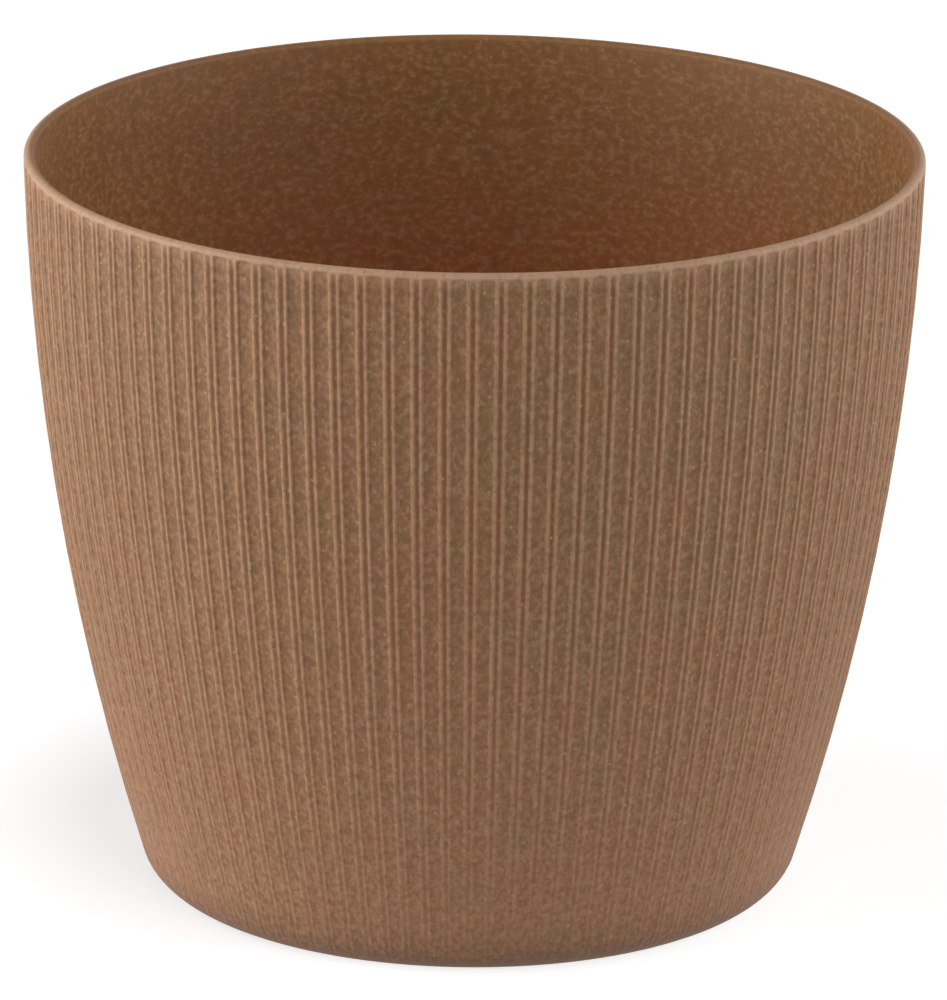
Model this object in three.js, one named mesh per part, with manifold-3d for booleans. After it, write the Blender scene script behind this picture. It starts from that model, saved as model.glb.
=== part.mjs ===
// Round plant pot with a finely fluted side, moulded in one piece from wood-filled plastic,
// and the soft plug that closes the drain hole in its floor.
// Millimetres, +Z up. The origin is the centre of the foot ring, on the ground.

import * as THREE from "three";
import { mergeVertices } from "three/addons/utils/BufferGeometryUtils.js";
import Module from "manifold-3d";

const wasm = await Module();
wasm.setup();

// Outside form of the pot
const rimDiameter = 180; // across the lip
const potHeight = 152;
const footDiameter = 116; // where the bottom corner touches the ground
const cornerRadius = 9; // outside, from the foot up into the side
const rimDraft = 1.4; // degrees that the side leans in just under the lip

// Wall, floor and foot ring
const wallThickness = 2.3;
const floorThickness = 2.4;
const innerCornerRadius = 8;
const footRingWidth = 3.5;
const footRingHeight = 2; // the underside of the floor is this far clear of the ground
const footRingDraft = 0.3; // the ring's inner face leans by this much

// Flutes: wide ones, and between them pairs of thin ridges with a narrow groove
const fluteCount = 104;
const ridgeSpacing = 1.9; // between the two ridges of a pair, at the rim
const ridgeFlank = 0.55; // width of the slope from a ridge to a flute's floor, at the rim
const fluteDepth = 0.55;
const grooveDepth = 0.42;
const depthLeftAtCorner = 0.5; // share of both depths where the side meets the bottom corner
const lipBand = 1.4; // plain band between the top of the pot and the flutes
const fluteEndLength = 0.8; // height of a flute's closed upper end

// Drain hole with a sunk seat for its plug, and the notches that let the water out under the pot
const drainDiameter = 16;
const seatDepth = 0.6;
const seatMargin = 1; // the seat is this much wider than the plug's head, all round
const notchCount = 4;
const notchWidth = 7;
const notchDepth = 0.8;

// Drain plug
const plugClearance = 0.3; // between the stem and the hole, all round
const plugSeatGap = 0.2; // between the head and its seat
const plugHeadOverlap = 5; // the head covers the seat this far round the hole
const plugHeadThickness = 2;
const plugEdge = 0.6; // bevel round the head and the end of the stem
const plugTaper = 0.7; // the stem's end is this much smaller in radius
const plugGroundClearance = 0.8; // the stem stops this far above the ground
const gripLength = 13;
const gripThickness = 3;
const gripHeight = 4.5;

// Steps along each curve
const sideSteps = 5;
const cornerSteps = 3;
const plainCornerSteps = 1; // the corner's lowest steps, which have no flutes
const innerCornerSteps = 3;
const lipSteps = 6;
const notchSegments = 32;
const plugSegments = 48;
const gripSegments = 12;

const rimRadius = rimDiameter / 2;
const footRadius = footDiameter / 2;
const drainRadius = drainDiameter / 2;
const lipRadius = wallThickness / 2;
const floorTop = footRingHeight + floorThickness;
const seatHeight = floorTop - seatDepth;
const headRadius = drainRadius + plugHeadOverlap;
const seatRadius = headRadius + seatMargin;
const draft = THREE.MathUtils.degToRad(rimDraft);

// A point on an arc in the half plane of radius r and height z, and a row of such points.
const onArc = (centre, radius, angle) => ({
  r: centre.r + radius * Math.cos(angle),
  z: centre.z + radius * Math.sin(angle),
});
function arc(centre, radius, from, to, steps) {
  const angles = Array.from({ length: steps + 1 }, (_, i) => from + ((to - from) * i) / steps);
  return angles.map((angle) => onArc(centre, radius, angle));
}

// The side is one large arc: it leaves the lip at the draft angle and runs smoothly into the
// bottom corner, and both together give its radius.
const sideTop = { r: rimRadius, z: potHeight - lipRadius * (1 + Math.sin(draft)) };
const corner = { r: footRadius, z: cornerRadius };
const across = corner.r - sideTop.r;
const down = corner.z - sideTop.z;
const sideRadius =
  (cornerRadius ** 2 - across ** 2 - down ** 2) /
  (2 * (across * Math.cos(draft) - down * Math.sin(draft) + cornerRadius));
const sideCentre = onArc(sideTop, sideRadius, Math.PI - draft);
const cornerAngle = Math.atan2(corner.z - sideCentre.z, corner.r - sideCentre.r);

// The inside is the same arc one wall further in, with a corner of its own on the floor.
const innerRadius = sideRadius - wallThickness;
const innerCornerHeight = floorTop + innerCornerRadius;
const innerCornerAngle = Math.asin(
  (innerCornerHeight - sideCentre.z) / (innerRadius - innerCornerRadius),
);
const innerCorner = onArc(sideCentre, innerRadius - innerCornerRadius, innerCornerAngle);

// One turn of points. A plain ring has one point for each pitch of the flutes. A fluted ring has
// five: the groove, a ridge, both edges of the flute's floor, and the next ridge.
function ring({ r, z, depth = 0 }) {
  const pitch = (2 * Math.PI) / fluteCount;
  const ridge = ridgeSpacing / 2 / rimRadius;
  const floorEdge = ridge + ridgeFlank / rimRadius;
  const fluted = [
    [0, grooveDepth],
    [ridge, 0],
    [floorEdge, fluteDepth],
    [pitch - floorEdge, fluteDepth],
    [pitch - ridge, 0],
  ];
  const section = depth > 0 ? fluted : [[0, 0]];
  const turn = [];
  for (let i = 0; i < fluteCount; i++) {
    for (const [offset, inset] of section) {
      const angle = i * pitch + offset;
      const radius = r - inset * depth;
      turn.push(new THREE.Vector3(radius * Math.cos(angle), radius * Math.sin(angle), z));
    }
  }
  return turn;
}

// Closed skin through a list of rings, the last joined to the first. Between a plain ring and a
// fluted one, half of each pitch fans out from one plain point and half from the next.
function loft(rings) {
  const starts = [];
  const positions = [];
  for (const turn of rings) {
    starts.push(positions.length / 3);
    for (const point of turn) positions.push(point.x, point.y, point.z);
  }
  const faces = [];
  rings.forEach((turn, k) => {
    const next = (k + 1) % rings.length;
    const steps = Math.max(turn.length, rings[next].length);
    const at = (index, step) => {
      const { length } = rings[index];
      return starts[index] + (Math.round((step * length) / steps) % length);
    };
    for (let step = 0; step < steps; step++) {
      const a = at(k, step);
      const b = at(k, step + 1);
      const c = at(next, step + 1);
      const d = at(next, step);
      if (a !== b) faces.push(a, b, c);
      if (c !== d) faces.push(a, c, d);
    }
  });
  const geometry = new THREE.BufferGeometry();
  geometry.setAttribute("position", new THREE.Float32BufferAttribute(positions, 3));
  geometry.setIndex(faces);
  return geometry;
}

// A closed geometry as a solid that can be cut and joined, and a solid as a geometry again.
function solidOf(geometry) {
  const bare = geometry.clone();
  bare.deleteAttribute("normal");
  bare.deleteAttribute("uv");
  const merged = mergeVertices(bare);
  const vertProperties = new Float32Array(merged.attributes.position.array);
  const triVerts = new Uint32Array(merged.index.array);
  return new wasm.Manifold(new wasm.Mesh({ numProp: 3, vertProperties, triVerts }));
}
function geometryOf(solid) {
  const mesh = solid.getMesh();
  const geometry = new THREE.BufferGeometry();
  geometry.setAttribute("position", new THREE.BufferAttribute(mesh.vertProperties, 3));
  geometry.setIndex(new THREE.BufferAttribute(mesh.triVerts, 1));
  geometry.computeVertexNormals();
  return geometry;
}

// The pot's rings in order: out under the floor, round the foot, up the fluted side, over the
// lip, down the inside, and in across the floor and the plug's seat to the drain hole.
function potRings() {
  const fluteTop = potHeight - lipBand;
  const fullDepthTop = fluteTop - fluteEndLength;
  const sideAngle = (z) => Math.asin((z - sideCentre.z) / sideRadius);

  // Both depths shrink evenly from the top of the side to the corner, and run out round it.
  const fluted = (point, share = 1) => {
    const { mapLinear } = THREE.MathUtils;
    const depth = mapLinear(point.z, corner.z, fullDepthTop, depthLeftAtCorner, 1);
    return { ...point, depth: depth * Math.max(0, share) };
  };
  const underside = [
    { r: drainRadius, z: footRingHeight },
    { r: footRadius - footRingWidth - footRingDraft, z: footRingHeight },
    { r: footRadius - footRingWidth, z: 0 },
  ];
  const bottomCorner = arc(corner, cornerRadius, -Math.PI / 2, cornerAngle, cornerSteps);
  const side = arc(sideCentre, sideRadius, cornerAngle, sideAngle(fullDepthTop), sideSteps);
  const lipCentre = onArc(sideTop, lipRadius, Math.PI - draft);
  const lip = arc(lipCentre, lipRadius, -draft, Math.PI - draft, lipSteps);
  const inside = arc(sideCentre, innerRadius, -draft, innerCornerAngle, sideSteps);
  const insideCorner = arc(
    innerCorner,
    innerCornerRadius,
    innerCornerAngle,
    -Math.PI / 2,
    innerCornerSteps,
  );
  return [
    ...underside,
    ...bottomCorner.map((point, i) =>
      fluted(point, (i - plainCornerSteps) / (cornerSteps - plainCornerSteps)),
    ),
    ...side.slice(1).map((point) => fluted(point)),
    onArc(sideCentre, sideRadius, sideAngle(fluteTop)),
    ...lip,
    ...inside.slice(1),
    ...insideCorner.slice(1),
    { r: seatRadius + seatDepth, z: floorTop },
    { r: seatRadius, z: seatHeight },
    { r: drainRadius, z: seatHeight },
  ];
}

// A drain notch is a shallow round channel that runs outwards across the foot ring.
function notchGeometry(turn) {
  const radius = ((notchWidth / 2) ** 2 + notchDepth ** 2) / (2 * notchDepth);
  const length = 2 * (footRingWidth + cornerRadius);
  const channel = new THREE.CylinderGeometry(radius, radius, length, notchSegments);
  channel.rotateZ(Math.PI / 2);
  channel.translate(footRadius, 0, notchDepth - radius);
  channel.rotateZ(turn * 2 * Math.PI);
  return channel;
}

function makePot() {
  let pot = solidOf(loft(potRings().map(ring)));
  for (let i = 0; i < notchCount; i++) {
    pot = pot.subtract(solidOf(notchGeometry((i + 0.5) / notchCount)));
  }
  return geometryOf(pot);
}

// The underside of the plug's head is at height 0, and its stem hangs down into the hole.
function makePlug() {
  const stemRadius = drainRadius - plugClearance;
  const endRadius = stemRadius - plugTaper;
  const stemEnd = plugGroundClearance - seatHeight - plugSeatGap;
  const outline = [
    [0, stemEnd],
    [endRadius - plugEdge, stemEnd],
    [endRadius, stemEnd + plugEdge],
    [stemRadius, 0],
    [headRadius, 0],
    [headRadius, plugHeadThickness - plugEdge],
    [headRadius - plugEdge, plugHeadThickness],
    [0, plugHeadThickness],
  ].map(([r, z]) => new THREE.Vector2(r, z));
  const body = new THREE.LatheGeometry(outline, plugSegments);
  body.rotateX(Math.PI / 2);

  // A rounded fin to pinch stands on the head, with its root sunk into it.
  const finRoot = plugHeadThickness - plugEdge;
  const fin = new THREE.Shape();
  fin.moveTo(gripLength / 2, finRoot);
  fin.lineTo(gripLength / 2, plugHeadThickness);
  fin.absellipse(0, plugHeadThickness, gripLength / 2, gripHeight, 0, Math.PI, false);
  fin.lineTo(-gripLength / 2, finRoot);
  const grip = new THREE.ExtrudeGeometry(fin, {
    depth: gripThickness,
    bevelEnabled: false,
    curveSegments: gripSegments,
  });
  grip.translate(0, 0, -gripThickness / 2);
  grip.rotateX(Math.PI / 2);
  return geometryOf(solidOf(body).add(solidOf(grip)));
}

const pot = new THREE.Mesh(
  makePot(),
  new THREE.MeshStandardMaterial({ color: 0x936c4f, roughness: 0.75, metalness: 0 }),
);
pot.name = "pot";

const drainPlug = new THREE.Mesh(
  makePlug(),
  new THREE.MeshStandardMaterial({ color: 0x2e2824, roughness: 0.85, metalness: 0 }),
);
drainPlug.name = "drain_plug";
drainPlug.position.z = seatHeight + plugSeatGap;

const plantPot = new THREE.Group();
plantPot.add(pot, drainPlug);

export default plantPot;
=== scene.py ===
# Round plant pot with a finely fluted side, moulded from wood-filled plastic, and the soft plug
# in its drain hole. Metres, +Z up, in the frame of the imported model.
import math

import bmesh
import bpy
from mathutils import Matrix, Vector


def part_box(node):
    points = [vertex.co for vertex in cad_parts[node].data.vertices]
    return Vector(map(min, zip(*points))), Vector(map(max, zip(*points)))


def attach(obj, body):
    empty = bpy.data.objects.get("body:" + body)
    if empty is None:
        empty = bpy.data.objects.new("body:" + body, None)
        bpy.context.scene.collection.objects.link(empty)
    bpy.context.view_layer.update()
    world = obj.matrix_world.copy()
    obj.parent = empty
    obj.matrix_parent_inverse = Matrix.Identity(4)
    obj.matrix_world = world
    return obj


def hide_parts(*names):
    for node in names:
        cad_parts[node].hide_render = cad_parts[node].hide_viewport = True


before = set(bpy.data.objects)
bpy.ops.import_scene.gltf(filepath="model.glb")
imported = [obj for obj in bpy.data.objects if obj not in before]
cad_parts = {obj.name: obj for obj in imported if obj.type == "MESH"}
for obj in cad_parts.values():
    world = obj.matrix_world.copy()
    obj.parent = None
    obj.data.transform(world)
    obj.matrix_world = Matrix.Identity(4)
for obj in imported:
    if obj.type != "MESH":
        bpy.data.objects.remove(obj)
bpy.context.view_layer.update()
mm = 0.001
mergeDistance = mm / 200  # closer vertices than this are one
pickDistance = mm / 100  # what is closer than this to a place counts as at it


# Helpers for modelling

def ease(start, end, value):
    # 0 up to start, 1 from end on, and a smooth step between them
    part = min(1, max(0, (value - start) / (end - start)))
    return part * part * (3 - 2 * part)


def onArc(centre, radius, angle):
    return (centre[0] + radius * math.cos(angle), centre[1] + radius * math.sin(angle))


def onlySelect(*picked):
    if bpy.context.object and bpy.context.object.mode != "OBJECT":
        bpy.ops.object.mode_set(mode="OBJECT")
    bpy.ops.object.select_all(action="DESELECT")
    for piece in picked:
        piece.select_set(True)
    bpy.context.view_layer.objects.active = picked[0] if picked else None


def editAll(piece):
    onlySelect(piece)
    bpy.ops.object.mode_set(mode="EDIT")
    bpy.ops.mesh.select_mode(type="VERT")
    bpy.ops.mesh.select_all(action="SELECT")


def selectWhere(piece, kind, wanted):
    # Selects the verts, edges or faces of the piece in edit mode for which wanted(part) is true
    modes = {"verts": "VERT", "edges": "EDGE", "faces": "FACE"}
    bpy.ops.mesh.select_mode(type=modes[kind])
    bpy.ops.mesh.select_all(action="DESELECT")
    mesh = bmesh.from_edit_mesh(piece.data)
    for part in getattr(mesh, kind):
        if wanted(part):
            part.select_set(True)
    bmesh.update_edit_mesh(piece.data)


def applyModifier(piece, kind, **settings):
    onlySelect(piece)
    bpy.ops.object.modifier_add(type=kind)
    modifier = piece.modifiers[-1]
    for setting, value in settings.items():
        setattr(modifier, setting, value)
    bpy.ops.object.modifier_apply(modifier=modifier.name)


def applyPlace(piece):
    onlySelect(piece)
    bpy.ops.object.transform_apply(location=True, rotation=True, scale=True)


def copyAround(piece, count):
    # Copies the piece evenly round the pot's axis and merges the copies where they meet
    turn = bpy.data.objects.new("turn", None)
    bpy.context.scene.collection.objects.link(turn)
    turn.rotation_euler.z = 2 * math.pi / count
    bpy.context.view_layer.update()
    applyModifier(
        piece,
        "ARRAY",
        count=count,
        use_relative_offset=False,
        use_object_offset=True,
        offset_object=turn,
        use_merge_vertices=True,
        use_merge_vertices_cap=True,
        merge_threshold=mergeDistance,
    )
    bpy.data.objects.remove(turn)


# A profile is drawn as a chain of vertices in the half plane of X, the radius, and Z

def startProfile(name, place):
    onlySelect()
    bpy.ops.mesh.primitive_plane_add(size=mm)
    drawn = bpy.context.object
    drawn.name = name
    drawn.data.name = name
    editAll(drawn)
    bpy.ops.mesh.merge(type="CENTER")
    bpy.ops.transform.translate(value=(place[0], 0, place[1]))
    return drawn


def lineTo(drawn, r, z):
    mesh = bmesh.from_edit_mesh(drawn.data)
    here = next(vertex.co.copy() for vertex in mesh.verts if vertex.select)
    bpy.ops.mesh.extrude_region_move(TRANSFORM_OT_translate={"value": (r - here.x, 0, z - here.z)})


def arcOn(centre, sweep, steps):
    # Goes on along an arc; a positive sweep turns from the radius towards +Z
    bpy.ops.mesh.spin(steps=steps, angle=sweep, center=(centre[0], 0, centre[1]), axis=(0, 1, 0))


def roundPoints(drawn, points, radius, segments):
    def isPoint(vertex):
        return any(
            math.hypot(vertex.co.x - r, vertex.co.z - z) < pickDistance for r, z in points
        )
    selectWhere(drawn, "verts", isPoint)
    bpy.ops.mesh.bevel(offset=radius, segments=segments, affect="VERTICES")


def revolve(sweeps):
    # Turns the whole profile round the pot's axis, one column of faces for each sweep
    bpy.ops.mesh.select_mode(type="VERT")
    bpy.ops.mesh.select_all(action="SELECT")
    for sweep in sweeps:
        bpy.ops.mesh.spin(steps=1, angle=-sweep, center=(0, 0, 0), axis=(0, 0, 1))


# The pot

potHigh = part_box("pot")[1]
pot = {
    "rimRadius": potHigh.x,
    "height": potHigh.z,
    "footRadius": 58 * mm,
    "cornerRadius": 9 * mm,
    "rimDraft": math.radians(1.4),
    "wall": 2.3 * mm,
    "floor": 2.4 * mm,
    "innerCorner": 8 * mm,
    "footRingWidth": 3.5 * mm,
    "footRingHeight": 2 * mm,
    "footRingDraft": 0.3 * mm,
    "drainRadius": 8 * mm,
    "seatRadius": 14 * mm,
    "seatDepth": 0.6 * mm,
    "edgeRounding": 0.25 * mm,
    "notches": 4,
    "notchWidth": 7 * mm,
    "notchDepth": 0.8 * mm,
    "insideFrom": (0.35, 0.7),  # shares of the wall, from outside, where the inner colour begins
    "plainColumns": 4,  # in one pitch of the flutes, where there are none
    "footSteps": 3,  # steps along each arc of the profile
    "innerCornerSteps": 9,
    "innerWallSteps": 12,
    "lipSteps": 12,
    "edgeSteps": 2,
    "notchSegments": 96,
    "smoothAngle": math.radians(50),
}
flutes = {
    "count": 104,
    "ridgeSpacing": 1.86 * mm,  # between the two ridges of a pair, at the rim
    "ridgeTop": 0.5 * mm,  # the part of a ridge between its flank and its groove
    "grooveFloor": 0.28 * mm,
    "flank": 0.35 * mm,
    "depth": 0.42 * mm,
    "grooveDepth": 0.2 * mm,
    "below": 0.75 * mm,  # from the top of the pot to the flutes' upper ends
    "grooveBelow": 0.15 * mm,  # the grooves end this much lower
    "endLength": 0.9 * mm,
    "endRounding": 0.3 * mm,
    "leftAtCorner": 0.2,  # share of the flutes' depth where the side meets the bottom corner
    "grooveLeftAtCorner": 0.45,  # and of the grooves'
    "fading": 2,  # above 1, they stay deep further down
    "runOut": (math.radians(-66), math.radians(-35)),  # round the bottom corner
    "grooveSteps": 3,  # columns on each part of the section
    "flankSteps": 4,
    "floorSteps": 2,
    "ridgeSteps": 2,
    "lipRows": 2,
    "endHeight": 1.9 * mm,  # part of the side that has finer rows for the upper ends
    "endRows": 8,
    "sideRows": 11,
    "cornerRows": 8,
}
pitch = 2 * math.pi / flutes["count"]
lipSeam = math.radians(14)  # where the fluted side begins on the lip's arc
seamAngle = math.radians(8)  # width of the strips that join it to the plain rest
cornerSeamAngle = math.radians(3)


def potArcs():
    # The side is one large arc from the lip to the bottom corner, and both give its radius
    lipRadius = pot["wall"] / 2
    draft = pot["rimDraft"]
    sideTop = (pot["rimRadius"], pot["height"] - lipRadius * (1 + math.sin(draft)))
    corner = (pot["footRadius"], pot["cornerRadius"])
    across = corner[0] - sideTop[0]
    down = corner[1] - sideTop[1]
    sideRadius = (pot["cornerRadius"] ** 2 - across ** 2 - down ** 2) / (
        2 * (across * math.cos(draft) - down * math.sin(draft) + pot["cornerRadius"])
    )
    side = onArc(sideTop, sideRadius, math.pi - draft)
    innerRadius = sideRadius - pot["wall"] - pot["innerCorner"]
    innerHeight = pot["footRingHeight"] + pot["floor"] + pot["innerCorner"]
    innerAngle = math.asin((innerHeight - side[1]) / innerRadius)
    return {
        "lip": onArc(sideTop, lipRadius, math.pi - draft),
        "lipRadius": lipRadius,
        "side": side,
        "sideRadius": sideRadius,
        "corner": corner,
        "cornerAngle": math.atan2(corner[1] - side[1], corner[0] - side[0]),
        "innerCorner": onArc(side, innerRadius, innerAngle),
        "innerAngle": innerAngle,
    }


arcs = potArcs()


def sideAt(z):
    # Radius of the smooth outside at this height
    if z < arcs["corner"][1]:
        rise = arcs["corner"][1] - z
        return arcs["corner"][0] + math.sqrt(max(0, pot["cornerRadius"] ** 2 - rise ** 2))
    rise = z - arcs["side"][1]
    return arcs["side"][0] + math.sqrt(arcs["sideRadius"] ** 2 - rise ** 2)


def columnSweeps():
    # Columns of one pitch, from the middle of one ridge to the same place one pitch further on
    ridgeTop, flank, grooveFloor = flutes["ridgeTop"], flutes["flank"], flutes["grooveFloor"]
    grooveSide = (flutes["ridgeSpacing"] - ridgeTop - grooveFloor) / 2
    fluteFloor = pitch * pot["rimRadius"] - flutes["ridgeSpacing"] - ridgeTop - 2 * flank
    inGroove, onFlank = flutes["grooveSteps"], flutes["flankSteps"]
    onFloor, onRidge = flutes["floorSteps"], flutes["ridgeSteps"]
    spans = [
        (ridgeTop / 2, onRidge // 2),
        (grooveSide, inGroove),
        (grooveFloor, onFloor),
        (grooveSide, inGroove),
        (ridgeTop, onRidge),
        (flank, onFlank),
        (fluteFloor, onFloor),
        (flank, onFlank),
        (ridgeTop / 2, onRidge // 2),
    ]
    return [width / steps / pot["rimRadius"] for width, steps in spans for _ in range(steps)]


def drawPlainWedge():
    # One pitch of what has no flutes: foot ring, underside, drain hole, floor, inside and lip
    floorTop = pot["footRingHeight"] + pot["floor"]
    seat = floorTop - pot["seatDepth"]
    ringInside = pot["footRadius"] - pot["footRingWidth"]
    first = flutes["runOut"][0] - cornerSeamAngle
    drawn = startProfile("fluted_pot", onArc(arcs["corner"], pot["cornerRadius"], first))
    arcOn(arcs["corner"], -math.pi / 2 - first, pot["footSteps"])
    edges = [
        (ringInside, 0),
        (ringInside - pot["footRingDraft"], pot["footRingHeight"]),
        (pot["drainRadius"], pot["footRingHeight"]),
        (pot["drainRadius"], seat),
        (pot["seatRadius"], seat),
        (pot["seatRadius"] + pot["seatDepth"], floorTop),
    ]
    for r, z in edges:
        lineTo(drawn, r, z)
    lineTo(drawn, arcs["innerCorner"][0], floorTop)
    arcOn(arcs["innerCorner"], arcs["innerAngle"] + math.pi / 2, pot["innerCornerSteps"])
    arcOn(arcs["side"], -pot["rimDraft"] - arcs["innerAngle"], pot["innerWallSteps"])
    arcOn(arcs["lip"], lipSeam + seamAngle + pot["rimDraft"] - math.pi, pot["lipSteps"])
    roundPoints(drawn, edges, pot["edgeRounding"], pot["edgeSteps"])
    revolve([pitch / pot["plainColumns"]] * pot["plainColumns"])
    return drawn


def drawFlutedWedge():
    # One pitch of the side, still smooth, with a column at each edge of the ridges
    drawn = startProfile("side", onArc(arcs["lip"], arcs["lipRadius"], lipSeam))
    arcOn(arcs["lip"], -pot["rimDraft"] - lipSeam, flutes["lipRows"])
    endSweep = flutes["endHeight"] / arcs["sideRadius"]
    arcOn(arcs["side"], -endSweep, flutes["endRows"])
    arcOn(arcs["side"], arcs["cornerAngle"] + pot["rimDraft"] + endSweep, flutes["sideRows"])
    arcOn(arcs["corner"], flutes["runOut"][0] - arcs["cornerAngle"], flutes["cornerRows"])
    revolve(columnSweeps())
    return drawn


def bridgeSeam(piece, centre, radius, *angles):
    # Fills the gap between two rows of vertices that lie on the same arc of the profile
    places = [onArc(centre, radius, angle) for angle in angles]

    def onRow(vertex, place):
        r = math.hypot(vertex.co.x, vertex.co.y)
        return math.hypot(r - place[0], vertex.co.z - place[1]) < mergeDistance

    def inRow(edge):
        return any(all(onRow(vertex, place) for vertex in edge.verts) for place in places)
    selectWhere(piece, "edges", inRow)
    bpy.ops.mesh.bridge_edge_loops()


def pressedAt(place):
    # How far the side is pressed in here: share of the flute, share of the groove, and both as depth
    r = math.hypot(place.x, place.y)
    around = math.atan2(place.y, place.x)
    offset = abs((around + pitch / 2) % pitch - pitch / 2) * pot["rimRadius"]
    crest = flutes["ridgeSpacing"] / 2
    ridgeHalf = flutes["ridgeTop"] / 2
    fluteMiddle = pitch / 2 * pot["rimRadius"]
    fluteHalf = fluteMiddle - crest - ridgeHalf
    groove = 1 - ease(flutes["grooveFloor"] / 2, crest, offset)
    flute = ease(crest, crest + ridgeHalf + flutes["flank"], offset)

    # Closed and rounded at the top
    top = pot["height"] - flutes["below"]
    fluteEnd = top - flutes["endRounding"] * ((fluteMiddle - offset) / fluteHalf) ** 2
    groove *= ease(0, flutes["endLength"], top - flutes["grooveBelow"] - place.z)
    flute *= ease(0, flutes["endLength"], fluteEnd - place.z)

    # Shallower towards the bottom, and run out round the corner
    cornerR, cornerZ = arcs["corner"]
    up = min(1, (place.z - cornerZ) / (top - cornerZ))
    faded = (1 - up) ** flutes["fading"]
    runOut = ease(*flutes["runOut"], math.atan2(place.z - cornerZ, r - cornerR))
    flute *= runOut * (1 - (1 - flutes["leftAtCorner"]) * faded)
    groove *= runOut * (1 - (1 - flutes["grooveLeftAtCorner"]) * faded)
    return flute, groove, flute * flutes["depth"] + groove * flutes["grooveDepth"]


def cutFlutes(piece):
    # Presses the flutes in, and keeps where they are as attributes for the material
    def isSide(place):
        r = math.hypot(place.x, place.y)
        return r > arcs["corner"][0] and r > sideAt(place.z) - pot["wall"] / 2
    pressed = [pressedAt(v.co) if isSide(v.co) else (0, 0, 0) for v in piece.data.vertices]
    group = piece.vertex_groups.new(name="fluteDepth")
    for index, (flute, groove, depth) in enumerate(pressed):
        if depth > 0:
            group.add([index], depth / flutes["depth"], "REPLACE")
    applyModifier(
        piece,
        "DISPLACE",
        strength=-flutes["depth"],
        mid_level=0,
        direction="NORMAL",
        vertex_group=group.name,
    )
    piece.vertex_groups.clear()
    keepShare(piece, "fluteShare", [flute for flute, groove, depth in pressed])
    keepShare(piece, "grooveShare", [groove for flute, groove, depth in pressed])


def keepShare(piece, name, shares):
    kept = piece.data.attributes.new(name, "FLOAT", "POINT")
    kept.data.foreach_set("value", shares)


def markInside(piece):
    # 1 on the inner wall and floor, 0 outside, and a smooth change over the lip
    halfFloor = pot["footRingHeight"] + pot["floor"] / 2
    inside = []
    for vertex in piece.data.vertices:
        place = vertex.co
        r = math.hypot(place.x, place.y)
        depth = (sideAt(place.z) - r) / pot["wall"] if place.z > halfFloor else 0
        inside.append(ease(*pot["insideFrom"], depth))
    keepShare(piece, "insideShare", inside)


def cutNotches(piece):
    # Shallow round channels across the foot ring
    width, depth = pot["notchWidth"], pot["notchDepth"]
    radius = ((width / 2) ** 2 + depth ** 2) / (2 * depth)
    onlySelect()
    bpy.ops.mesh.primitive_cylinder_add(
        vertices=pot["notchSegments"],
        radius=radius,
        depth=2 * (pot["footRingWidth"] + pot["cornerRadius"]),
        location=(pot["footRadius"], 0, depth - radius),
        rotation=(0, math.pi / 2, 0),
    )
    channel = bpy.context.object
    applyPlace(channel)
    channel.rotation_euler.z = math.pi / pot["notches"]
    applyPlace(channel)
    copyAround(channel, pot["notches"])
    applyModifier(piece, "BOOLEAN", operation="DIFFERENCE", object=channel, solver="MANIFOLD")
    bpy.data.objects.remove(channel)


def makePot():
    piece = drawPlainWedge()
    side = drawFlutedWedge()
    onlySelect(piece, side)
    bpy.ops.object.join()
    editAll(piece)
    bridgeSeam(piece, arcs["lip"], arcs["lipRadius"], lipSeam, lipSeam + seamAngle)
    seam = flutes["runOut"][0]
    bridgeSeam(piece, arcs["corner"], pot["cornerRadius"], seam, seam - cornerSeamAngle)
    onlySelect(piece)
    piece.rotation_euler.z = -flutes["ridgeSpacing"] / 2 / pot["rimRadius"]
    applyPlace(piece)
    copyAround(piece, flutes["count"])
    editAll(piece)
    bpy.ops.mesh.normals_make_consistent(inside=False)
    onlySelect(piece)
    cutFlutes(piece)
    markInside(piece)
    cutNotches(piece)
    onlySelect(piece)
    bpy.ops.object.shade_smooth_by_angle(angle=pot["smoothAngle"])
    print("pot:", len(piece.data.vertices), "vertices")
    return piece


flutedPot = makePot()
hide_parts("pot")
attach(flutedPot, "pot")


# The drain plug

plugLow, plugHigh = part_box("drain_plug")
plug = {
    "headRadius": plugHigh.x,
    "stemRadius": 7.7 * mm,
    "endRadius": 7 * mm,
    "headBottom": 4 * mm,
    "headThickness": 2 * mm,
    "headEdge": 0.7 * mm,
    "gripLength": 13 * mm,
    "gripThickness": 3 * mm,
    "gripRounding": 0.7 * mm,
    "gripRoot": 0.5 * mm,  # the grip starts this far down in the head
    "segments": 96,
    "gripSegments": 64,
    "edgeSteps": 4,
    "smoothAngle": math.radians(40),
}


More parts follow.
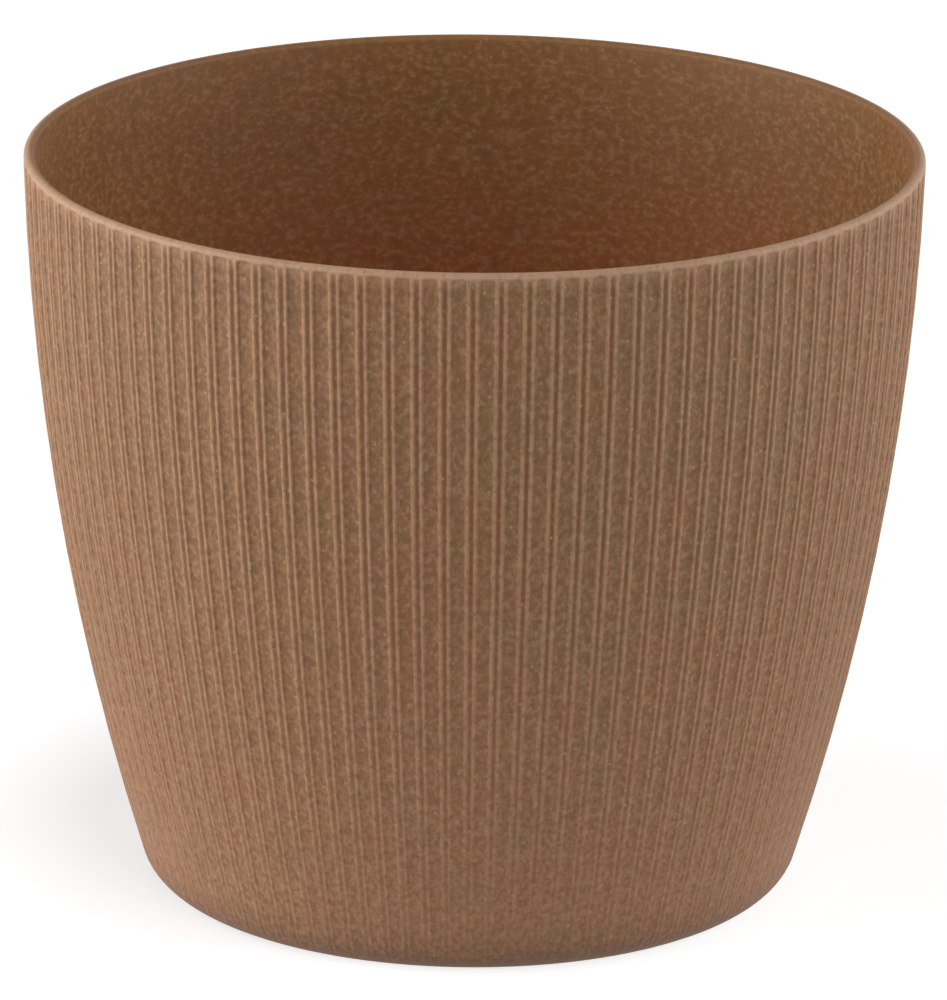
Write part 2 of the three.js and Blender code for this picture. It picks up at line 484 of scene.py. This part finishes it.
def makePlug():
    headTop = plug["headBottom"] + plug["headThickness"]
    points = [
        (plug["endRadius"], plugLow.z),
        (plug["stemRadius"], plug["headBottom"]),
        (plug["headRadius"], plug["headBottom"]),
        (plug["headRadius"], headTop),
    ]
    head = startProfile("rubber_plug", (0, plugLow.z))
    for r, z in points:
        lineTo(head, r, z)
    lineTo(head, 0, headTop)
    roundPoints(head, points, plug["headEdge"], plug["edgeSteps"])
    revolve([2 * math.pi / plug["segments"]] * plug["segments"])
    editAll(head)
    bpy.ops.mesh.remove_doubles(threshold=mergeDistance)
    bpy.ops.mesh.normals_make_consistent(inside=False)

    # A half round fin to pinch, cut from an upright disc
    gripHeight = plugHigh.z - headTop
    onlySelect()
    bpy.ops.mesh.primitive_cylinder_add(
        vertices=plug["gripSegments"],
        radius=plug["gripLength"] / 2,
        depth=plug["gripThickness"],
        location=(0, 0, headTop),
        rotation=(math.pi / 2, 0, 0),
    )
    grip = bpy.context.object
    applyPlace(grip)
    editAll(grip)
    bpy.ops.transform.resize(
        value=(1, 1, gripHeight / (plug["gripLength"] / 2)),
        center_override=(0, 0, headTop),
    )
    bpy.ops.mesh.bisect(
        plane_co=(0, 0, headTop - plug["gripRoot"]),
        plane_no=(0, 0, 1),
        clear_inner=True,
        use_fill=True,
    )

    def isRim(edge):
        flat = abs(edge.verts[0].co.y - edge.verts[1].co.y) < pickDistance
        return flat and all(vertex.co.z > headTop - pickDistance for vertex in edge.verts)
    selectWhere(grip, "edges", isRim)
    bpy.ops.mesh.bevel(offset=plug["gripRounding"], segments=plug["edgeSteps"], affect="EDGES")
    applyModifier(head, "BOOLEAN", operation="UNION", object=grip, solver="EXACT")
    bpy.data.objects.remove(grip)
    onlySelect(head)
    bpy.ops.object.shade_smooth_by_angle(angle=plug["smoothAngle"])
    print("plug:", len(head.data.vertices), "vertices")
    return head


rubberPlug = makePlug()
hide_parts("drain_plug")
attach(rubberPlug, "plug")


# Helpers for materials

def srgb(red, green, blue):
    # A colour as a colour picker shows it, 0 to 255, as the linear colour that a node takes
    def linear(level):
        part = level / 255
        return part / 12.92 if part <= 0.04045 else ((part + 0.055) / 1.055) ** 2.4
    return (linear(red), linear(green), linear(blue), 1)


def newMaterial(name):
    material = bpy.data.materials.new(name)
    material.use_nodes = True
    return material, material.node_tree, material.node_tree.nodes["Principled BSDF"]


def addNode(tree, kind, inputs=None, **settings):
    added = tree.nodes.new("ShaderNode" + kind)
    for setting, value in settings.items():
        setattr(added, setting, value)
    for socket, value in (inputs or {}).items():
        if isinstance(value, bpy.types.NodeSocket):
            tree.links.new(value, added.inputs[socket])
        else:
            added.inputs[socket].default_value = value
    return added


def onObject(tree, scale=(1, 1, 1)):
    # Object coordinates, stretched
    coordinates = addNode(tree, "TexCoord").outputs["Object"]
    return addNode(tree, "Mapping", {"Vector": coordinates, "Scale": scale}).outputs["Vector"]


def grain(tree, vector, size, detail=2, roughness=0.5):
    # Noise whose features are about size across
    inputs = {"Vector": vector, "Scale": 1 / size, "Detail": detail, "Roughness": roughness}
    return addNode(tree, "TexNoise", inputs).outputs["Fac"]


def spread(tree, value, low, high, toLow=0, toHigh=1):
    # Goes evenly from toLow, at low and before it, to toHigh, at high and past it
    inputs = {
        "Value": value,
        "From Min": low,
        "From Max": high,
        "To Min": toLow,
        "To Max": toHigh,
    }
    return addNode(tree, "MapRange", inputs, clamp=True).outputs["Result"]


def calculate(tree, operation, first, second):
    return addNode(tree, "Math", {0: first, 1: second}, operation=operation).outputs["Value"]


def blend(tree, factor, first, second):
    inputs = {0: factor, 6: first, 7: second}
    return addNode(tree, "Mix", inputs, data_type="RGBA").outputs[2]


# Wood-filled plastic: brown, with paler and darker fibres and fine specks in it

woodLook = {
    # The lip's colour is paler, to paint the light that falls on its top
    "lip": srgb(204, 161, 127),
    "lipLightFade": (4 * mm, 0.7 * mm),  # below the top, from the ridges' colour to the lip's painted light
    "ridge": srgb(188, 141, 104),
    # The flute and groove colours are darker, to paint the shade in these hollows
    "flute": srgb(147, 105, 68),
    "fluteShadeEdge": (0.02, 0.9),  # shares of the depth between which that painted shade comes in
    "groove": srgb(118, 76, 42),
    "grooveShadeEdge": (0.3, 0.95),
    "endShadeFade": (1.3 * mm, 3.6 * mm),  # below the top, where the flutes and grooves gain their painted shade
    "endShadeTone": 0.4,  # share of that painted shade at their upper ends
    # The inner wall is written redder than the same plastic outside, as painted inter-reflected light
    # in the cup
    "inner": srgb(142, 94, 44),
    "innerLowLight": srgb(188, 103, 48),
    "innerLowLightFrom": (135 * mm, 80 * mm),  # heights over which the inner wall turns redder and brighter: painted light where less lamp light reaches down
    "innerDeep": srgb(160, 114, 78),  # the floor and the lowest part of the inner wall
    "innerDeepFrom": (92 * mm, 50 * mm),
    "dark": srgb(88, 55, 32),
    "pale": srgb(206, 170, 132),
    "olive": srgb(128, 108, 66),
    "red": srgb(160, 98, 66),
    "speckSize": 1.05 * mm,
    "streakLength": 1.35,  # outside, the specks are drawn out upwards by this much
    "innerSpeckSize": 1.2 * mm,
    "innerSpeckHeight": 0.7,  # against their width
    "speckRoughness": 0.6,
    "darkSpecks": 0.42,
    "darkFrom": (0.5, 0.34),  # noise levels between which the specks turn dark
    "paleSpecks": 0.4,
    "paleFrom": (0.5, 0.68),
    "innerContrast": 0.72,  # share of the specks' strength that is left on the inner wall
    "grooveContrast": 0.5,  # the same in the grooves
    "lipContrast": 0.6,  # and at the lip
    "tonePatch": 11 * mm,
    "tone": 0.16,
    "oliveFrom": (0.5, 0.66),
    "redFrom": (0.5, 0.34),
    "drawMarkWidth": 0.9 * mm,  # faint upright marks on the inner wall, from the mould
    "drawMarkSquash": 0.08,  # of the noise along the height, which draws the marks out
    "drawMarks": 0.14,
    "drawMarksFrom": (0.45, 0.7),
    # Painted shade round the bottom corner, where the foot turns away from the light
    "footShade": srgb(80, 62, 46),
    "foot": 0.8,  # share of this painted shade at the very bottom
    "footShadeFrom": 13 * mm,  # height at which it begins
    "footShadeCurve": 1.5,  # above 1, it stays faint for longer
    # Painted shade: the side turns darker and redder towards the bottom
    "low": srgb(140, 72, 46),
    "lowSideShade": 0.26,  # share of this redder painted shade at the very bottom of the side, where less light falls
    "lowSideShadeFrom": 100 * mm,
    "chipCell": 1.1 * mm,  # at most one chip in each cell
    "chipSize": (0.42, 0.1),  # in cells: the outer edge of a chip and where its colour is full
    "paleChips": (0.94, 0.65),  # from this random number on, and how much of the pale colour
    "darkChips": (0.05, 0.45),
    "innerChips": 0.45,  # share of the chips' strength that is left on the inner wall
    "roughness": (0.5, 0.72),
    "roughnessFrom": (0.3, 0.7),
    "bumpSize": 0.55 * mm,
    "bumpRoughness": 0.65,
    "bump": 0.12 * mm,
    "bumpStrength": 0.5,
}


def makeWoodPlastic():
    material, tree, shader = newMaterial("wood_plastic")
    look = woodLook
    inside = addNode(tree, "Attribute", attribute_name="insideShare").outputs["Fac"]
    flute = addNode(tree, "Attribute", attribute_name="fluteShare").outputs["Fac"]
    groove = addNode(tree, "Attribute", attribute_name="grooveShare").outputs["Fac"]
    height = addNode(tree, "SeparateXYZ", {0: onObject(tree)}).outputs["Z"]
    upright = onObject(tree, (1, 1, 1 / look["streakLength"]))
    plain = onObject(tree)

    # Paler on the ridges, painted light on the lip's top, and painted shade: darker in the flutes,
    # darkest in the grooves
    fadeFrom, fadeTo = look["lipLightFade"]
    top = spread(tree, height, pot["height"] - fadeFrom, pot["height"] - fadeTo)
    colour = blend(tree, top, look["ridge"], look["lip"])
    endFrom, endTo = look["endShadeFade"]
    ends = spread(tree, height, pot["height"] - endFrom, pot["height"] - endTo, look["endShadeTone"], 1)
    for share, tone in (
        (spread(tree, flute, *look["fluteShadeEdge"]), "flute"),
        (spread(tree, groove, *look["grooveShadeEdge"]), "groove"),
    ):
        colour = blend(tree, calculate(tree, "MULTIPLY", share, ends), colour, look[tone])
    # Painted shade at the foot
    foot = calculate(tree, "POWER", spread(tree, height, look["footShadeFrom"], 0), look["footShadeCurve"])
    colour = blend(tree, calculate(tree, "MULTIPLY", foot, look["foot"]), colour, look["footShade"])
    # Painted shade, lower on the side
    side = spread(tree, height, look["lowSideShadeFrom"], 0, 0, look["lowSideShade"])
    colour = blend(tree, side, colour, look["low"])
    # Inner wall: painted inter-reflection, and painted light lower down
    low = spread(tree, height, *look["innerLowLightFrom"])
    inner = blend(tree, low, look["inner"], look["innerLowLight"])
    deep = spread(tree, height, *look["innerDeepFrom"])
    inner = blend(tree, deep, inner, look["innerDeep"])
    marks = grain(tree, onObject(tree, (1, 1, look["drawMarkSquash"])), look["drawMarkWidth"])
    marks = spread(tree, marks, *look["drawMarksFrom"], 0, look["drawMarks"])
    inner = blend(tree, marks, inner, look["dark"])
    colour = blend(tree, inside, colour, inner)

    # Olive and red tones in large soft patches
    tones = grain(tree, plain, look["tonePatch"], 3)
    olive = spread(tree, tones, *look["oliveFrom"], 0, look["tone"])
    red = spread(tree, tones, *look["redFrom"], 0, look["tone"])
    colour = blend(tree, olive, colour, look["olive"])
    colour = blend(tree, red, colour, look["red"])

    # Specks: drawn out upwards on the side, larger and wider than high inside
    flat = onObject(tree, (look["innerSpeckHeight"], look["innerSpeckHeight"], 1))
    streaks = grain(tree, upright, look["speckSize"], 3, look["speckRoughness"])
    specks = grain(tree, flat, look["innerSpeckSize"], 3, look["speckRoughness"])
    mixed = addNode(tree, "Mix", {0: inside, 2: streaks, 3: specks}).outputs[0]
    contrast = spread(tree, inside, 0, 1, 1, look["innerContrast"])
    for share, left in ((groove, look["grooveContrast"]), (top, look["lipContrast"])):
        contrast = calculate(tree, "MULTIPLY", contrast, spread(tree, share, 0, 1, 1, left))
    dark = spread(tree, mixed, *look["darkFrom"], 0, look["darkSpecks"])
    pale = spread(tree, mixed, *look["paleFrom"], 0, look["paleSpecks"])
    colour = blend(tree, calculate(tree, "MULTIPLY", dark, contrast), colour, look["dark"])
    colour = blend(tree, calculate(tree, "MULTIPLY", pale, contrast), colour, look["pale"])

    # Single small chips of wood, pale and dark
    cells = addNode(tree, "TexVoronoi", {"Vector": plain, "Scale": 1 / look["chipCell"]}).outputs
    number = addNode(tree, "SeparateXYZ", {0: cells["Color"]}).outputs["X"]
    chip = spread(tree, cells["Distance"], *look["chipSize"])
    chip = calculate(tree, "MULTIPLY", chip, spread(tree, inside, 0, 1, 1, look["innerChips"]))
    for kind, (limit, amount), operation in (
        ("pale", look["paleChips"], "GREATER_THAN"),
        ("dark", look["darkChips"], "LESS_THAN"),
    ):
        picked = calculate(tree, operation, number, limit)
        share = calculate(tree, "MULTIPLY", calculate(tree, "MULTIPLY", picked, chip), amount)
        colour = blend(tree, share, colour, look[kind])
    tree.links.new(colour, shader.inputs["Base Color"])

    rough = spread(tree, mixed, *look["roughnessFrom"], *look["roughness"])
    tree.links.new(rough, shader.inputs["Roughness"])
    fine = grain(tree, plain, look["bumpSize"], 4, look["bumpRoughness"])
    bump = {"Height": fine, "Distance": look["bump"], "Strength": look["bumpStrength"]}
    tree.links.new(addNode(tree, "Bump", bump).outputs["Normal"], shader.inputs["Normal"])
    return material


# Soft rubber of the plug

rubberLook = {
    "brown": srgb(52, 46, 42),
    "dust": srgb(92, 82, 72),
    "dustPatch": 5 * mm,
    "dustFrom": (0.4, 0.75),  # noise levels between which the dust comes in
    "dusty": 0.4,  # share of the dust's colour
    "grain": 0.4 * mm,
    "roughness": (0.6, 0.8),
    "roughnessFrom": (0.3, 0.7),
    "bump": 0.05 * mm,
    "bumpStrength": 0.5,
}


def makeRubber():
    material, tree, shader = newMaterial("plug_rubber")
    look = rubberLook
    plain = onObject(tree)
    patches = grain(tree, plain, look["dustPatch"], 4)
    dusty = spread(tree, patches, *look["dustFrom"], 0, look["dusty"])
    tree.links.new(blend(tree, dusty, look["brown"], look["dust"]), shader.inputs["Base Color"])
    fine = grain(tree, plain, look["grain"], 3)
    rough = spread(tree, fine, *look["roughnessFrom"], *look["roughness"])
    tree.links.new(rough, shader.inputs["Roughness"])
    bump = {"Height": fine, "Distance": look["bump"], "Strength": look["bumpStrength"]}
    tree.links.new(addNode(tree, "Bump", bump).outputs["Normal"], shader.inputs["Normal"])
    return material


def paint(piece, material):
    piece.data.materials.clear()
    piece.data.materials.append(material)


paint(flutedPot, makeWoodPlastic())
paint(rubberPlug, makeRubber())
print("materials: painted on both pieces")
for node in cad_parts.values():
    print("hidden under its detailed piece:", node.name)


# Floor and light

studio = {
    "floorSize": 6,
    "floorWhite": 0.45,
    "floorRoughness": 0.9,
    "floorShine": 0.1,
    "ambient": 0,
    "shadowSide": (-0.036, 0.024, 0),  # the floor glows less round here, which paints part of its shadow, and is white elsewhere
    "shadowSquash": 0.7,  # of that region along Y
    "shadowReach": (0.04, 0.068),
    "lift": (0.62, 0.82),  # added to the floor where the camera sees it
    "farReach": (0.3, 0.9),  # from here out, the floor is lifted further
    "farLift": 0.2,
    # Each lamp's place, its width and height, and its power
    "leftBox": ((-1.17, -0.25, 0.5), (1.6, 1), 16.5),
    "rightBox": ((1.17, -0.1, 0.5), (1.9, 1), 11.9),
    "frontBox": ((0.1, -1.2, 1), (1.2, 0.8), 3),
}


def seenRay(tree):
    # 1 for what the camera sees, straight, mirrored or through something clear
    rays = addNode(tree, "LightPath").outputs
    seen = calculate(tree, "MAXIMUM", rays["Is Camera Ray"], rays["Is Glossy Ray"])
    return calculate(tree, "MAXIMUM", seen, rays["Is Transmission Ray"])


def makeFloor():
    onlySelect()
    bpy.ops.mesh.primitive_plane_add(size=studio["floorSize"])
    floor = bpy.context.object
    floor.name = "floor"
    material, tree, shader = newMaterial("floor_white")
    shader.inputs["Base Color"].default_value = (*[studio["floorWhite"]] * 3, 1)
    shader.inputs["Roughness"].default_value = studio["floorRoughness"]
    shader.inputs["Specular IOR Level"].default_value = studio["floorShine"]
    shader.inputs["Emission Color"].default_value = (1, 1, 1, 1)
    away = addNode(
        tree,
        "VectorMath",
        {0: onObject(tree, (1, studio["shadowSquash"], 1)), 1: studio["shadowSide"]},
        operation="DISTANCE",
    ).outputs["Value"]
    # Less glow round the shadow side: a shadow on the floor that is partly real and partly painted
    lift = spread(tree, away, *studio["shadowReach"], *studio["lift"])
    far = spread(tree, away, *studio["farReach"], 0, studio["farLift"])
    lift = calculate(tree, "ADD", lift, far)
    strength = calculate(tree, "MULTIPLY", seenRay(tree), lift)
    tree.links.new(strength, shader.inputs["Emission Strength"])
    paint(floor, material)


def addLamp(name, location, size, power):
    onlySelect()
    bpy.ops.object.light_add(type="AREA", location=location)
    lamp = bpy.context.object
    lamp.name = name
    lamp.data.shape = "RECTANGLE"
    lamp.data.size, lamp.data.size_y = size
    lamp.data.energy = power
    aim = Vector((0, 0, pot["height"] / 2)) - Vector(location)
    lamp.rotation_euler = aim.to_track_quat("-Z", "Y").to_euler()


def lightWorld():
    world = bpy.data.worlds.new("studio")
    bpy.context.scene.world = world
    world.use_nodes = True
    tree = world.node_tree
    background = tree.nodes["Background"]
    background.inputs["Color"].default_value = (1, 1, 1, 1)
    strength = spread(tree, seenRay(tree), 0, 1, studio["ambient"], 1)
    tree.links.new(strength, background.inputs["Strength"])


makeFloor()
lightWorld()
addLamp("left_box", *studio["leftBox"])
addLamp("right_box", *studio["rightBox"])
addLamp("front_box", *studio["frontBox"])
print("studio: floor, world and lamps are in place")


# Camera

view = {
    "elevation": math.radians(17.55),
    "azimuth": 0,
    "roll": 0.0085,  # radians
    "distance": 1980 * mm,
    "lens": 353.0,
    "target": (0, 0, pot["height"] / 2),
    "right": 0.35 * mm,
    "up": 2.33 * mm,
    "clip": (0.1, 20),
}


def addCamera():
    lift, turn = view["elevation"], view["azimuth"]
    back = Vector((math.sin(turn) * math.cos(lift), -math.cos(turn) * math.cos(lift), math.sin(lift)))
    rotation = (-back).to_track_quat("-Z", "Y")
    right = rotation @ Vector((1, 0, 0))
    up = rotation @ Vector((0, 1, 0))
    aim = Vector(view["target"]) + right * view["right"] + up * view["up"]
    onlySelect()
    bpy.ops.object.camera_add(location=aim + back * view["distance"])
    camera = bpy.context.object
    camera.rotation_euler = rotation.to_euler()
    camera.rotation_euler.rotate_axis("Z", view["roll"])
    camera.data.lens = view["lens"]
    camera.data.clip_start, camera.data.clip_end = view["clip"]
    bpy.context.scene.camera = camera


addCamera()
bpy.context.scene.view_settings.view_transform = "Standard"
print("camera: set")

onlySelect()
